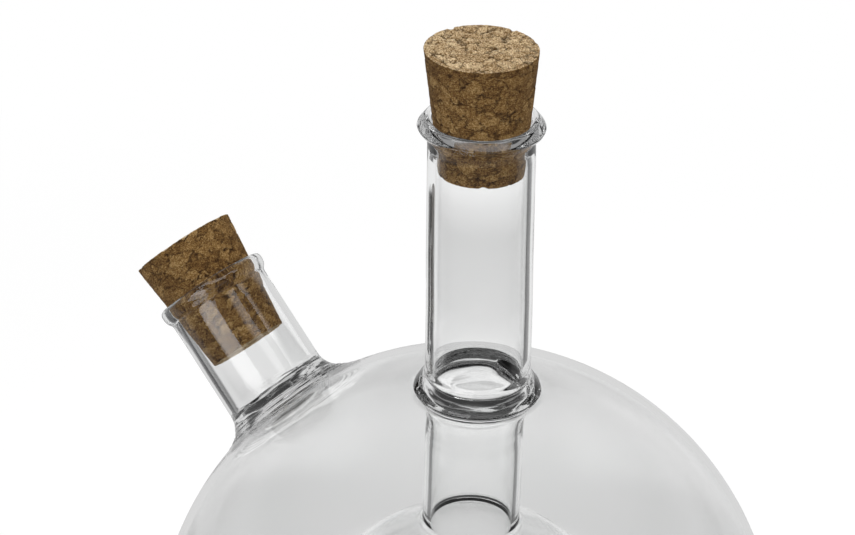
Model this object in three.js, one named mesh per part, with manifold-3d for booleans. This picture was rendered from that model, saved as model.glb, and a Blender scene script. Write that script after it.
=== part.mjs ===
// A round glass bottle for oil and vinegar. An inner flask hangs inside a larger globe from the
// central neck, the space between them has a slanted side neck, and a tapered cork closes each neck.
// Millimetres, +Z up. The origin is the middle of the flat base. The side neck leans towards -X.

import * as THREE from 'three';
import { mergeVertices } from 'three/addons/utils/BufferGeometryUtils.js';
import Module from 'manifold-3d';

// Outer globe
const globeRadius = 65;
const globeWall = 1.4;
const globeCentreHeight = 58;
const baseThickness = 2.4;
const heelRadius = 12;

// Central neck, whose length is from the globe's highest point to the crest of the lip
const neckOuterRadius = 10.65;
const neckWall = 1.5;
const neckLength = 59;
const neckLipFlare = 1.95;
const neckFlareHeight = 4.2;
const neckSeatDepth = 7.9;

// Ring of glass that seals the central neck into the globe and carries the stem below it
const sealRimFlare = 2.2;
const sealRimOverhang = 1.35;
const sealRimHeight = 1.6;
const sealFilletHeight = 4;
const sealFootDepth = 4.8;

// Inner flask
const stemOuterRadius = 9.9;
const stemWall = 1.5;
const bulbRadius = 34;
const bulbWall = 1.2;
const bulbCentreHeight = 56;
const bulbCollarHeight = 1.8;

// Side neck, whose length is along its axis from the globe's surface to the crest of the lip.
// Its axis meets the globe's vertical axis a little below the globe's centre.
const sideNeckTilt = THREE.MathUtils.degToRad(44.9);
const sideNeckAxisDrop = 7.7;
const sideNeckOuterRadius = 11.35;
const sideNeckWall = 1.35;
const sideNeckLength = 29.7;
const sideLipFlare = 1.0;
const sideFlareHeight = 3.4;
const sideSeatDepth = 4.4;

// Weld that joins the side neck to the globe
const weldHeight = 6;
const weldSpread = 5;
const weldEdgeThickness = 0.5;

// Corks, both alike
const corkTopRadius = 11.25;
const corkBottomRadius = 8.5;
const corkLength = 25.8;
const corkChamfer = 0.5;

// Clearances
const corkClearance = 0.3;
const weldClearance = 0.3;
const roundingRise = 0.01;

// Roundness of the meshes
const globeSegments = 56;
const neckSegments = 40;
const globeArcSteps = 14;
const bulbArcSteps = 10;
const heelArcSteps = 4;
const beadArcSteps = 8;
const smallArcSteps = 4;

const quarterTurn = Math.PI / 2;
const lipUndercutAngle = THREE.MathUtils.degToRad(50);
const corkTaper = (corkTopRadius - corkBottomRadius) / corkLength;
const neckBoreRadius = neckOuterRadius - neckWall;
const stemBoreRadius = stemOuterRadius - stemWall;
const sideBoreRadius = sideNeckOuterRadius - sideNeckWall;

const glassLook = { color: '#e6ebea', roughness: 0.04, metalness: 0, transparent: true, opacity: 0.4 };
const corkLook = { color: '#8a6740', roughness: 0.9, metalness: 0 };

const wasm = await Module();
wasm.setup();

function point(radius, height) {
  return new THREE.Vector2(radius, height);
}

// Points of a round arc in a profile, both ends included, at angles from the outward direction
function arc(centreRadius, centreHeight, radius, startAngle, endAngle, steps) {
  const points = [];
  for (let i = 0; i <= steps; i += 1) {
    const angle = startAngle + ((endAngle - startAngle) * i) / steps;
    const across = centreRadius + radius * Math.cos(angle);
    points.push(point(across, centreHeight + radius * Math.sin(angle)));
  }
  return points;
}

function bend(start, control, end, steps) {
  return new THREE.QuadraticBezierCurve(start, control, end).getPoints(steps);
}

// A solid turned about Z, whose profile starts and ends on the axis and goes up the outside
function turnedSolid(profile, segments) {
  const geometry = new THREE.LatheGeometry(profile, segments);
  geometry.rotateX(quarterTurn);
  return geometry;
}

// A ring or tube turned about Z, whose profile goes up the outside and down the bore
function turnedRing(profile, segments) {
  return turnedSolid([...profile, profile[0].clone()], segments);
}

function toManifold(geometry) {
  const bare = geometry.clone();
  bare.deleteAttribute('normal');
  bare.deleteAttribute('uv');
  const merged = mergeVertices(bare);
  const vertProperties = new Float32Array(merged.attributes.position.array);
  const triVerts = new Uint32Array(merged.index.array);
  return new wasm.Manifold(new wasm.Mesh({ numProp: 3, vertProperties, triVerts }));
}

function fromManifold(solid) {
  const mesh = solid.getMesh();
  const geometry = new THREE.BufferGeometry();
  geometry.setAttribute('position', new THREE.BufferAttribute(mesh.vertProperties, 3));
  geometry.setIndex(new THREE.BufferAttribute(mesh.triVerts, 1));
  geometry.computeVertexNormals();
  return geometry;
}

function named(name, geometry, look) {
  const mesh = new THREE.Mesh(geometry, new THREE.MeshStandardMaterial(look));
  mesh.name = name;
  return mesh;
}

function heightOnSphere(centreHeight, radius, fromAxis) {
  return centreHeight + Math.sqrt(radius ** 2 - fromAxis ** 2);
}

const globeInnerRadius = globeRadius - globeWall;
const openingRadius = neckOuterRadius + sealRimFlare - sealRimOverhang;
const openingTopHeight = heightOnSphere(globeCentreHeight, globeRadius, openingRadius);
const openingFootHeight = heightOnSphere(globeCentreHeight, globeInnerRadius, openingRadius);

// One side of the globe's wall, from the flat base up to the opening for the central neck
function globeProfile(radius, heel, floorHeight) {
  const heelCentreHeight = floorHeight + heel;
  const heelRise = globeCentreHeight - heelCentreHeight;
  const heelCentreRadius = Math.sqrt((radius - heel) ** 2 - heelRise ** 2);
  const meetingAngle = Math.atan2(-heelRise, heelCentreRadius);
  const openingAngle = Math.acos(openingRadius / radius);
  const floorCentre = point(0, floorHeight);
  const heelArc = arc(heelCentreRadius, heelCentreHeight, heel, -quarterTurn, meetingAngle, heelArcSteps);
  const side = arc(0, globeCentreHeight, radius, meetingAngle, openingAngle, globeArcSteps);
  return [floorCentre, ...heelArc, ...side.slice(1)];
}

function makeOuterGlobe() {
  const outside = globeProfile(globeRadius, heelRadius, 0);
  const inside = globeProfile(globeInnerRadius, heelRadius - globeWall, baseThickness);
  const shell = turnedSolid([...outside, ...inside.reverse()], globeSegments);
  const drillLength = sideNeckLength + globeRadius;
  const drill = new THREE.CylinderGeometry(sideBoreRadius, sideBoreRadius, drillLength, neckSegments);
  drill.rotateX(quarterTurn);
  drill.translate(0, 0, globeRadius / 2 + drillLength / 2);
  drill.rotateY(-sideNeckTilt);
  drill.translate(0, 0, globeCentreHeight - sideNeckAxisDrop);
  const cut = toManifold(shell).subtract(toManifold(drill));
  return named('outer_globe', fromManifold(cut), glassLook);
}

// The lip and the tapered mouth of a neck, from the outside of the tube over the crest to the bore.
// The mouth opens as the cork does, so that the cork seats all round its clearance.
function mouthProfile(neck) {
  const mouthRadius = neck.boreRadius + corkTaper * neck.seatDepth;
  const lipRadius = neck.outerRadius + neck.lipFlare;
  const beadRadius = (lipRadius - mouthRadius) / 2;
  const beadCentreRadius = lipRadius - beadRadius;
  const beadCentreHeight = neck.crestHeight - beadRadius;
  const beadStart = -lipUndercutAngle;
  const bead = arc(beadCentreRadius, beadCentreHeight, beadRadius, beadStart, Math.PI, beadArcSteps);
  const flareStart = point(neck.outerRadius, neck.crestHeight - neck.flareHeight);
  const undercut = (bead[0].x - neck.outerRadius) / Math.tan(lipUndercutAngle);
  const flareControl = point(neck.outerRadius, bead[0].y - undercut);
  const flare = bend(flareStart, flareControl, bead[0], smallArcSteps);
  const seat = point(neck.boreRadius, neck.crestHeight - neck.seatDepth);
  return [...flare, ...bead.slice(1), seat];
}

// How far the bottom of a seated cork lies below the crest of the neck's lip
function corkBottomHeight(neck) {
  const seatedLength = (neck.boreRadius - corkClearance - corkBottomRadius) / corkTaper;
  return neck.crestHeight - neck.seatDepth - seatedLength;
}

function makeCork(name, neck) {
  const profile = [
    point(0, 0),
    point(corkBottomRadius - corkChamfer, 0),
    point(corkBottomRadius + corkTaper * corkChamfer, corkChamfer),
    point(corkTopRadius - corkTaper * corkChamfer, corkLength - corkChamfer),
    point(corkTopRadius - corkChamfer, corkLength),
    point(0, corkLength),
  ];
  const cork = named(name, turnedSolid(profile, neckSegments), corkLook);
  cork.position.z = corkBottomHeight(neck);
  return cork;
}

const globeTopHeight = globeCentreHeight + globeRadius;
const sealHeadHeight = openingTopHeight + weldClearance + sealRimHeight + sealFilletHeight;
const sealFootHeight = openingFootHeight - sealFootDepth;

const centralNeck = {
  outerRadius: neckOuterRadius,
  boreRadius: neckBoreRadius,
  crestHeight: globeTopHeight + neckLength,
  lipFlare: neckLipFlare,
  flareHeight: neckFlareHeight,
  seatDepth: neckSeatDepth,
};

function makeCentralNeck() {
  const profile = [
    point(neckBoreRadius, sealHeadHeight),
    point(neckOuterRadius, sealHeadHeight),
    ...mouthProfile(centralNeck),
  ];
  return named('central_neck', turnedRing(profile, neckSegments), glassLook);
}

// The rim of the ring lies on the globe, its web fills the opening, and its foot carries the stem.
function makeNeckRingSeal() {
  const rimRadius = neckOuterRadius + sealRimFlare;
  const webRadius = openingRadius - weldClearance;
  const rimLayHeight = openingTopHeight + weldClearance;
  const rimRound = sealRimHeight / 2;
  const underHeight = openingFootHeight - weldClearance;
  const rimCentreRadius = rimRadius - rimRound;
  const rimCentreHeight = rimLayHeight + rimRound;
  const rim = arc(rimCentreRadius, rimCentreHeight, rimRound, -quarterTurn, quarterTurn / 2, smallArcSteps);
  const rimEnd = rim[rim.length - 1];
  const head = point(neckOuterRadius, sealHeadHeight);
  const foot = point(stemOuterRadius, sealFootHeight);
  const web = point(webRadius, underHeight);
  const profile = [
    point(stemBoreRadius, sealFootHeight),
    ...bend(foot, point(stemOuterRadius, underHeight - weldClearance), web, smallArcSteps),
    point(webRadius, rimLayHeight),
    ...rim,
    ...bend(rimEnd, point(neckOuterRadius, rimEnd.y), head, smallArcSteps).slice(1),
    point(neckBoreRadius, sealHeadHeight),
    point(neckBoreRadius, openingTopHeight),
    point(stemBoreRadius, underHeight),
  ];
  return named('neck_ring_seal', turnedRing(profile, neckSegments), glassLook);
}

const bulbCollarTopHeight =
  heightOnSphere(bulbCentreHeight, bulbRadius, stemOuterRadius + bulbCollarHeight) + bulbCollarHeight;

function makeInnerStem() {
  const profile = [
    point(stemBoreRadius, bulbCollarTopHeight),
    point(stemOuterRadius, bulbCollarTopHeight),
    point(stemOuterRadius, sealFootHeight),
    point(stemBoreRadius, sealFootHeight),
  ];
  return named('inner_stem', turnedRing(profile, neckSegments), glassLook);
}

function makeInnerBulb() {
  const innerRadius = bulbRadius - bulbWall;
  const collarRadius = stemOuterRadius + bulbCollarHeight;
  const outerStop = Math.acos(collarRadius / bulbRadius);
  const innerStop = Math.acos(stemBoreRadius / innerRadius);
  const outside = arc(0, bulbCentreHeight, bulbRadius, -quarterTurn, outerStop, bulbArcSteps);
  const inside = arc(0, bulbCentreHeight, innerRadius, innerStop, -quarterTurn, bulbArcSteps);
  const collarFoot = outside[outside.length - 1];
  const collarTop = point(stemOuterRadius, bulbCollarTopHeight);
  const collarCorner = point(stemOuterRadius, collarFoot.y);
  const collar = bend(collarFoot, collarCorner, collarTop, smallArcSteps);
  const bore = point(stemBoreRadius, bulbCollarTopHeight);
  outside[0].x = 0;
  inside[inside.length - 1].x = 0;
  const profile = [...outside, ...collar.slice(1), bore, ...inside];
  return named('inner_bulb', turnedSolid(profile, neckSegments), glassLook);
}

// Height of the globe's surface along the side neck's axis, in the side neck's own frame, whose
// origin is where its axis meets the globe's vertical axis
const globeCentreAcross = sideNeckAxisDrop * Math.sin(sideNeckTilt);
const globeCentreAlong = sideNeckAxisDrop * Math.cos(sideNeckTilt);

function globeSurface(x, y) {
  const fromCentre = Math.hypot(x - globeCentreAcross, y);
  return heightOnSphere(globeCentreAlong, globeRadius, fromCentre);
}

// Drapes the points of a turned solid that are no higher than a level over the globe, so that
// heights up to that level count from the globe's surface. The small rise allows for rounding.
function draped(geometry, level) {
  const position = geometry.attributes.position;
  const highest = level + roundingRise;
  for (let i = 0; i < position.count; i += 1) {
    if (position.getZ(i) < highest) {
      const surface = globeSurface(position.getX(i), position.getY(i));
      position.setZ(i, position.getZ(i) + surface);
    }
  }
  geometry.computeVertexNormals();
  return geometry;
}

const sideNeck = {
  outerRadius: sideNeckOuterRadius,
  boreRadius: sideBoreRadius,
  crestHeight: globeSurface(0, 0) + sideNeckLength,
  lipFlare: sideLipFlare,
  flareHeight: sideFlareHeight,
  seatDepth: sideSeatDepth,
};

function makeSideNeckWeld() {
  const spreadRadius = sideNeckOuterRadius + weldSpread;
  const top = weldClearance + weldHeight;
  const filletStart = point(spreadRadius, weldClearance + weldEdgeThickness);
  const filletCorner = point(sideNeckOuterRadius, filletStart.y);
  const filletEnd = point(sideNeckOuterRadius, top);
  const floorMiddle = (sideBoreRadius + spreadRadius) / 2;
  const profile = [
    point(sideBoreRadius, weldClearance),
    point(floorMiddle, weldClearance),
    point(spreadRadius, weldClearance),
    ...bend(filletStart, filletCorner, filletEnd, smallArcSteps),
    point(sideBoreRadius, top),
  ];
  return named('side_neck_weld', draped(turnedRing(profile, neckSegments), top), glassLook);
}

function makeSideNeck() {
  const foot = 2 * weldClearance + weldHeight;
  const profile = [
    point(sideBoreRadius, foot),
    point(sideNeckOuterRadius, foot),
    ...mouthProfile(sideNeck),
  ];
  return named('side_neck', draped(turnedRing(profile, neckSegments), foot), glassLook);
}

const bottle = new THREE.Group();
bottle.add(makeOuterGlobe(), makeInnerBulb(), makeInnerStem(), makeNeckRingSeal(), makeCentralNeck());
bottle.add(makeCork('central_cork', centralNeck));

const sideBranch = new THREE.Group();
sideBranch.position.z = globeCentreHeight - sideNeckAxisDrop;
sideBranch.rotation.y = -sideNeckTilt;
sideBranch.add(makeSideNeckWeld(), makeSideNeck(), makeCork('side_cork', sideNeck));
bottle.add(sideBranch);

export default bottle;
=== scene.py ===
# Glass oil and vinegar bottle with two corks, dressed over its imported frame. Lengths are in millimetres
# until a mesh is made, and each dictionary holds what can be changed for its piece.
import bmesh
import bpy
import math
from mathutils import Matrix, Vector, geometry, noise


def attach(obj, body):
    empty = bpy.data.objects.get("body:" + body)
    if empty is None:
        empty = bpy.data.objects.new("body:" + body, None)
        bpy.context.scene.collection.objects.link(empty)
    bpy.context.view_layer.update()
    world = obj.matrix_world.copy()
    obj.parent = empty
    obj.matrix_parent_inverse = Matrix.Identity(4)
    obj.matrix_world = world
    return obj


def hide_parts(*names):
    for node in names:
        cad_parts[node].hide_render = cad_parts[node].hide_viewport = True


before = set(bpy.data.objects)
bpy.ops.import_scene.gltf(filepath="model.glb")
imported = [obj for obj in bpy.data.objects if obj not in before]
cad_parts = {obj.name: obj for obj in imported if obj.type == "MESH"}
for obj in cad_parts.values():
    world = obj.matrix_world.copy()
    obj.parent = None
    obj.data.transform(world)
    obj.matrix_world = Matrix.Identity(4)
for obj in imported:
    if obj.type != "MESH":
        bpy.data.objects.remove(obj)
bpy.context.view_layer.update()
mm = 0.001
fullTurn = 2 * math.pi
print("frame loaded")

scene = bpy.context.scene
scene.view_settings.view_transform = "Standard"
scene.cycles.transmission_bounces = 24
scene.cycles.glossy_bounces = 30
scene.cycles.max_bounces = 40
scene.cycles.caustics_refractive = True


# node helpers

def newMaterial(name):
    material = bpy.data.materials.new(name)
    material.use_nodes = True
    material.node_tree.nodes.clear()
    return material, material.node_tree


def addNode(tree, kind, inputs=None, **settings):
    node = tree.nodes.new("ShaderNode" + kind)
    for key, value in settings.items():
        setattr(node, key, value)
    for key, value in (inputs or {}).items():
        if isinstance(value, bpy.types.NodeSocket):
            tree.links.new(value, node.inputs[key])
        else:
            node.inputs[key].default_value = value
    return node


def socket(tree, kind, inputs=None, **settings):  # a new node's first output
    return addNode(tree, kind, inputs, **settings).outputs[0]


def treeOf(*values):  # a socket knows its tree
    return next(value.id_data for value in values if isinstance(value, bpy.types.NodeSocket))


def math2(operation, first, second=0.0):
    return socket(treeOf(first, second), "Math", {0: first, 1: second}, operation=operation)


def product(first, *others):
    for other in others:
        first = math2("MULTIPLY", first, other)
    return first


def choose(share, first, second):  # plain mix of two values
    return socket(treeOf(share), "Mix", {0: share, 2: first, 3: second}, data_type="FLOAT")


def colourMix(share, first, second):
    node = addNode(treeOf(share), "Mix", {0: share, 6: first, 7: second}, data_type="RGBA")
    return node.outputs[2]


def noiseTexture(vector, settings):
    return socket(treeOf(vector), "TexNoise", {"Vector": vector, **settings})


def ramp(factor, stops):
    node = addNode(treeOf(factor), "ValToRGB", {0: factor})
    elements = node.color_ramp.elements
    while len(elements) < len(stops):
        elements.new(0.5)
    for element, (place, colour) in zip(elements, stops):
        element.position = place
        element.color = (*colour, 1)
    return node.outputs[0]


rising = (0.0, 1.0)
falling = (1.0, 0.0)


def mapRange(value, span, levels=rising, smooth=True):  # from one level to the other over a span
    kind = "SMOOTHSTEP" if smooth else "LINEAR"
    inputs = dict(enumerate((value, *span, *levels)))
    return socket(treeOf(value), "MapRange", inputs, interpolation_type=kind)


def band(value, low, high, smooth=True):  # 1 between two spans, 0 outside them
    return product(mapRange(value, low, rising, smooth), mapRange(value, high, falling, smooth))


def smoothStep(low, high, value):
    t = min(1.0, max(0.0, (value - low) / (high - low)))
    return t * t * (3 - 2 * t)


# camera, set from the photograph's framing (855 x 535)

photo = {
    "width": 855, "height": 535, "focalPixels": 3725.7, "sensorWidth": 36, "clip": (0.01, 20),
    "distance": 785.78,  # from the globe's centre
    "azimuth": 36.23, "elevation": 33.82, "roll": 1.82,
    "globeCentreAt": (477.92, 648.72),  # before the roll, below the picture's lower edge
}


def makeCamera(globeCentre):
    azimuth = math.radians(photo["azimuth"])
    elevation = math.radians(photo["elevation"])
    roll = math.radians(photo["roll"])
    back = Vector((math.sin(azimuth) * math.cos(elevation), -math.cos(azimuth) * math.cos(elevation),
            math.sin(elevation)))
    right = Vector((math.cos(azimuth), math.sin(azimuth), 0))
    up = back.cross(right)
    across, down = photo["globeCentreAt"]
    pitch = math.atan((down - photo["height"] / 2) / photo["focalPixels"])
    yaw = math.atan((across - photo["width"] / 2) / photo["focalPixels"])
    forward = -back * math.cos(pitch) + up * math.sin(pitch)
    up = right.cross(forward)
    forward = forward * math.cos(yaw) - right * math.sin(yaw)
    right = forward.cross(up)
    rolledRight = right * math.cos(roll) + up * math.sin(roll)
    rolledUp = up * math.cos(roll) - right * math.sin(roll)
    data = bpy.data.cameras.new("photoCamera")
    data.sensor_width = photo["sensorWidth"]
    data.lens = photo["focalPixels"] / photo["width"] * data.sensor_width
    data.clip_start, data.clip_end = photo["clip"]
    camera = bpy.data.objects.new("photoCamera", data)
    scene.collection.objects.link(camera)
    turn = Matrix((rolledRight, rolledUp, -forward)).transposed()
    place = globeCentre + back * photo["distance"] * mm
    camera.matrix_world = Matrix.Translation(place) @ turn.to_4x4()
    scene.camera = camera


# glass sizes, the same as those of the frame. An outline is steps outwards and upwards from a corner

globe = {"radius": 65.0, "wall": 1.4, "centre": 58.0, "floor": 2.4, "heel": 12.0}
neck = {
    "radius": 10.65, "wall": 1.5, "crest": 182.0,
    "seat": 7.9,  # how far below the crest the cork meets the bore
    "mouthDepth": 6.6,
    "lip": ((0, -4.8), (0.08, -3.9), (0.45, -3.1), (1.15, -2.55), (1.7, -2.3), (1.95, -1.95),
        (1.9, -1.6), (1.5, -1.05), (1.0, -0.42), (0.72, -0.12), (0.42, 0.0), (0.1, -0.02),
        (-0.3, -0.1), (-0.68, -0.4), (-0.88, -1.0), (-1.02, -2.2), (-1.15, -3.4)),
}
ring = {
    "radius": 12.85, "head": 127.8, "foot": 115.8,
    "ends": (1, 3),  # how far the seal's inside goes past its head and foot
    "footOut": 0.35,
    "outline": ((0.06, 0.02), (-0.03, 0.22), (-0.12, 0.5), (-0.38, 1.0), (-0.87, 1.75), (-1.35, 2.5),
        (-1.8, 3.2), (-2.08, 3.75), (-2.2, 4.5), (-2.2, 6.0)),
    "ledge": 124.7,
    "ledgeOutline": ((0, 0.4), (0.01, -0.4), (0.04, -1.6)),  # from the neck's bore
    "throat": ((0.84, -2.8), (0.52, -4.3), (0.22, -5.6), (0.04, -6.6), (0, -7.6)),  # from the stem's bore
    "inwards": 0.4, "underEdge": ((-0.7, -0.35), (-1.4, -1.05)),
    "underside": ((0.55, -1.9), (0.12, -2.7), (-0.08, -3.6), (-0.15, -5.2), (-0.08, -7.6), (0, -10.5),
        (0, -12.5)),
}
stem = {"radius": 9.9, "wall": 1.5}
bulb = {
    "radius": 34.0, "wall": 1.2, "centre": 56.0, "corner": 89.9, "collar": 9.0,
    "cornerOutline": ((0, 3.0), (0, 1.2), (0.01, 0.3), (0.12, -0.05), (0.5, -0.4), (2.0, -1.48),
        (4.0, -2.86), (6.0, -4.19), (8.0, -5.46)),
    "outerCollar": 8.2,
    "outerOutline": ((0, 4.2), (0, 2.3), (0.05, 1.3), (0.25, 0.65), (0.6, 0.08), (1.19, -0.5),
        (3.17, -1.87), (5.15, -3.18), (7.14, -4.44)),
}
sideNeck = {
    "radius": 11.35, "wall": 1.35, "length": 29.7, "seat": 4.4, "tilt": 44.9, "drop": 7.7,
    "from": 45.0,  # the glass is the side neck's from here along its axis
    "mouthDepth": 4.4,
    "lip": ((0, -4.5), (0.08, -3.8), (0.5, -3.25), (0.87, -2.6), (1.0, -1.7), (0.9, -0.8),
        (0.5, -0.17), (-0.1, 0.0), (-0.6, -0.25), (-0.86, -0.85), (-0.92, -1.7)),
}
weld = {
    "height": 5.6, "spread": 5.0, "moreSpread": 3.0, "innerSpread": 4.0,
    "footPull": 0.75,  # how straight the fillet leaves the globe and the neck
    "topPull": 0.62, "ripple": 0.07, "ripples": 9, "rippleFade": 1.5,
    "hole": 2.2,  # how much wider than the weld the globe's hole is
    "gap": 1.0,  # from the weld to a ring of points in that gap
    "rim": ((0, 6.8), (0, 5.5), (-0.12, 4.7), (-0.85, 3.7), (-1.85, 2.7), (-2.7, 1.8), (-3.2, 1.0),
        (-3.4, 0.4), (-3.1, -0.1), (-2.1, -0.25), (-0.6, -0.15), (1.0, -0.05), (2.4, 0.0)),
}
cork = {"top": 11.25, "bottom": 8.5, "length": 25.8, "clearance": 0.3}
steps = {"turns": 192, "sideTurns": 128, "base": 10, "heel": 10, "globe": 84, "bulb": 60, "neck": 24,
        "stemInside": 14, "stemOutside": 12, "fillet": 80, "sideOutside": 8, "sideInside": 10}
stepLengths = {"lip": 0.15, "seal": 0.2, "inside": 0.3}
leads = {"ring": 1.2, "inside": 1.5, "tube": 2}  # how far a spline's unseen end points stand off
tiny = {"gap": 0.005, "radius": 0.001}

makeCamera(Vector((0, 0, globe["centre"] * mm)))
print("camera set")

sideTilt = math.radians(sideNeck["tilt"])
sideAxis = Vector((-math.sin(sideTilt), 0, math.cos(sideTilt)))
sideAcross = Vector((math.cos(sideTilt), 0, math.sin(sideTilt)))
sideOrigin = Vector((0, 0, globe["centre"] - sideNeck["drop"]))
corkTaper = (cork["top"] - cork["bottom"]) / cork["length"]


def arc(centre, radius, start, end, count):
    points = []
    for i in range(count + 1):
        angle = math.radians(start + (end - start) * i / count)
        points.append((centre[0] + radius * math.cos(angle), centre[1] + radius * math.sin(angle)))
    return points


def straight(start, end, count):
    return [(start[0] + (end[0] - start[0]) * i / count, start[1] + (end[1] - start[1]) * i / count)
            for i in range(count + 1)]


def spline(points, stepLength):  # a smooth curve through points, without its first and last one
    out = []
    for i in range(1, len(points) - 2):
        a, b, c, d = (Vector(p) for p in points[i - 1:i + 3])
        count = max(2, math.ceil((c - b).length / stepLength))
        for k in range(count + (i == len(points) - 3)):
            t = k / count
            out.append(tuple(0.5 * ((2 * b) + (c - a) * t + (2 * a - 5 * b + 4 * c - d) * t ** 2
                    + (3 * b - a - 3 * c + d) * t ** 3)))
    return out


def joined(*runs):  # runs of points end to end, without points that repeat
    out = []
    for point in (p for run in runs for p in run):
        if not out or math.dist(out[-1], point) > tiny["gap"]:
            out.append(tuple(point))
    return out


def moved(outline, radius, height):
    return [(radius + out, height + rise) for out, rise in outline]


def onSphere(radius, centre, across):
    return centre + math.sqrt(radius ** 2 - across ** 2)


def sphereRun(radius, centre, start, outs):
    return [(start + out, onSphere(radius, centre, start + out)) for out in outs]


def heelRun(radius, heel, floor):  # flat base and rounded heel, and the angle where the globe starts
    rise = globe["centre"] - floor - heel
    middle = math.sqrt((radius - heel) ** 2 - rise ** 2)
    meet = math.degrees(math.atan2(-rise, middle))
    base = straight((0, floor), (middle, floor), steps["base"])
    return joined(base, arc((middle, floor + heel), heel, -90, meet, steps["heel"])), meet


def mouthRun(size):  # flare, lip and tapered mouth, from the tube to its bore
    bore = size["radius"] - size["wall"]
    flare = size["crest"] + size["lip"][0][1]
    outline = [(size["radius"], flare - leads["tube"]), (size["radius"], flare)]
    outline += moved(size["lip"][1:], size["radius"], size["crest"])
    outline += [(bore, size["crest"] - size["mouthDepth"] - down) for down in (0, leads["tube"])]
    return spline(outline, stepLengths["lip"])


print("sizes set")


# blown glass: outside and inner flask are one turned surface, the outer chamber is another, and the side
# neck joins both through a hole in the globe

def globeRun(radius, heel, floor, top):
    flat, meet = heelRun(radius, heel, floor)
    last = math.degrees(math.acos(top / radius))
    return joined(flat, arc((0, globe["centre"]), radius, meet, last, steps["globe"]))


def bulbRun(radius, top):
    first = math.degrees(math.acos(top / radius))
    return arc((0, bulb["centre"]), radius, first, -90, steps["bulb"])


def outsideRun():
    top = onSphere(globe["radius"], globe["centre"], ring["radius"])
    start = ring["radius"] + ring["footOut"]
    ringOutline = sphereRun(globe["radius"], globe["centre"], start, (leads["ring"], 0))
    ringOutline += moved(ring["outline"], ring["radius"], top)
    bore = neck["radius"] - neck["wall"]
    inner = stem["radius"] - stem["wall"]
    sealInside = [(bore, ring["head"] + up) for up in reversed(ring["ends"])]
    sealInside += moved(ring["ledgeOutline"], bore, ring["ledge"])
    sealInside += moved(ring["throat"], inner, ring["ledge"])
    sealInside += [(inner, ring["foot"] - down) for down in ring["ends"]]
    bulbInner = bulb["radius"] - bulb["wall"]
    shoulder = inner + bulb["collar"]
    collar = moved(bulb["cornerOutline"], inner, bulb["corner"])
    collar += sphereRun(bulbInner, bulb["centre"], shoulder, (0, leads["tube"]))
    mouth = mouthRun(neck)
    return joined(
        globeRun(globe["radius"], globe["heel"], 0, start),
        spline(ringOutline, stepLengths["seal"]),
        straight(ringOutline[-2], mouth[0], steps["neck"]),
        mouth,
        straight(mouth[-1], sealInside[1], steps["neck"]),
        spline(sealInside, stepLengths["inside"]),
        straight(sealInside[-2], collar[1], steps["stemInside"]),
        spline(collar, stepLengths["seal"]),
        bulbRun(bulbInner, shoulder))


def chamberRun():
    radius = globe["radius"] - globe["wall"]
    start = ring["radius"] - ring["inwards"]
    underside = sphereRun(radius, globe["centre"], start, (leads["inside"], 0))
    top = underside[-1][1]
    underside += moved(ring["underEdge"], start, top) + moved(ring["underside"], stem["radius"], top)
    shoulder = stem["radius"] + bulb["outerCollar"]
    collar = moved(bulb["outerOutline"], stem["radius"], bulb["corner"])
    collar += sphereRun(bulb["radius"], bulb["centre"], shoulder, (0, leads["tube"]))
    return joined(
        globeRun(radius, globe["heel"] - globe["wall"], globe["floor"], start),
        spline(underside, stepLengths["seal"]),
        straight(underside[-2], collar[1], steps["stemOutside"]),
        spline(collar, stepLengths["seal"]),
        bulbRun(bulb["radius"], shoulder))


def circle(radius, height, count):
    angles = [fullTurn * i / count for i in range(count)]
    return [Vector((radius * math.cos(angle), radius * math.sin(angle), height)) for angle in angles]


def turnedRows(run, count):  # one ring of points for each point of the run
    return [circle(radius, height, count) if radius >= tiny["radius"] else [Vector((0, 0, height))]
            for radius, height in run]


def sideDistance(point):  # how far a point of the globe is from the side neck's axis
    offset = point - sideOrigin
    along = offset.dot(sideAxis)
    return (offset - sideAxis * along).length if along > sideNeck["from"] else math.inf


def sideFlat(point):  # a point seen along the side neck's axis
    offset = point - sideOrigin
    return Vector((offset.dot(sideAcross), offset.y))


def sidePoint(radius, turn, along):
    return (sideOrigin + sideAxis * along + sideAcross * (radius * math.cos(turn))
            + Vector((0, radius * math.sin(turn), 0)))


def surfaceAlong(radius, turn, sphereRadius):  # where the side neck's wall meets a sphere
    x = radius * math.cos(turn) - sideNeck["drop"] * math.sin(sideTilt)
    y = radius * math.sin(turn)
    return sideNeck["drop"] * math.cos(sideTilt) + math.sqrt(sphereRadius ** 2 - x ** 2 - y ** 2)


def filletRun(turn):  # outside of the weld, from the globe to the tube
    tube = sideNeck["radius"]
    spread = weld["spread"] + weld["moreSpread"] * (0.5 + 0.5 * math.cos(turn))
    foot = tube + spread
    outs = foot, foot - 0.5, foot + 0.5, tube
    low, before, after, top = (surfaceAlong(out, turn, globe["radius"]) for out in outs)
    a = Vector((foot, low))
    b = a - Vector((1, after - before)) * spread * weld["footPull"]
    d = Vector((tube, top + weld["height"]))
    c = d - Vector((0, 1)) * weld["height"] * weld["topPull"]
    points = []
    for i in range(steps["fillet"] + 1):
        t = i / steps["fillet"]
        place = a * (1 - t) ** 3 + b * 3 * t * (1 - t) ** 2 + c * 3 * t ** 2 * (1 - t) + d * t ** 3
        fade = math.sin(math.pi * min(1, t * weld["rippleFade"])) ** 2
        wave = weld["ripple"] * math.sin(fullTurn * weld["ripples"] * t) * fade
        points.append((place.x + wave, place.y + wave))
    return points


def rimRun(turn):  # inside of the weld, from the bore to the globe's inside
    bore = sideNeck["radius"] - sideNeck["wall"]
    radius = globe["radius"] - globe["wall"]
    foot = weld["innerSpread"]
    outline = (*weld["rim"], (foot, 0), (foot + leads["inside"], 0))
    return spline([(bore + out, surfaceAlong(bore + out, turn, radius) + rise) for out, rise in outline],
            stepLengths["inside"])


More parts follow.
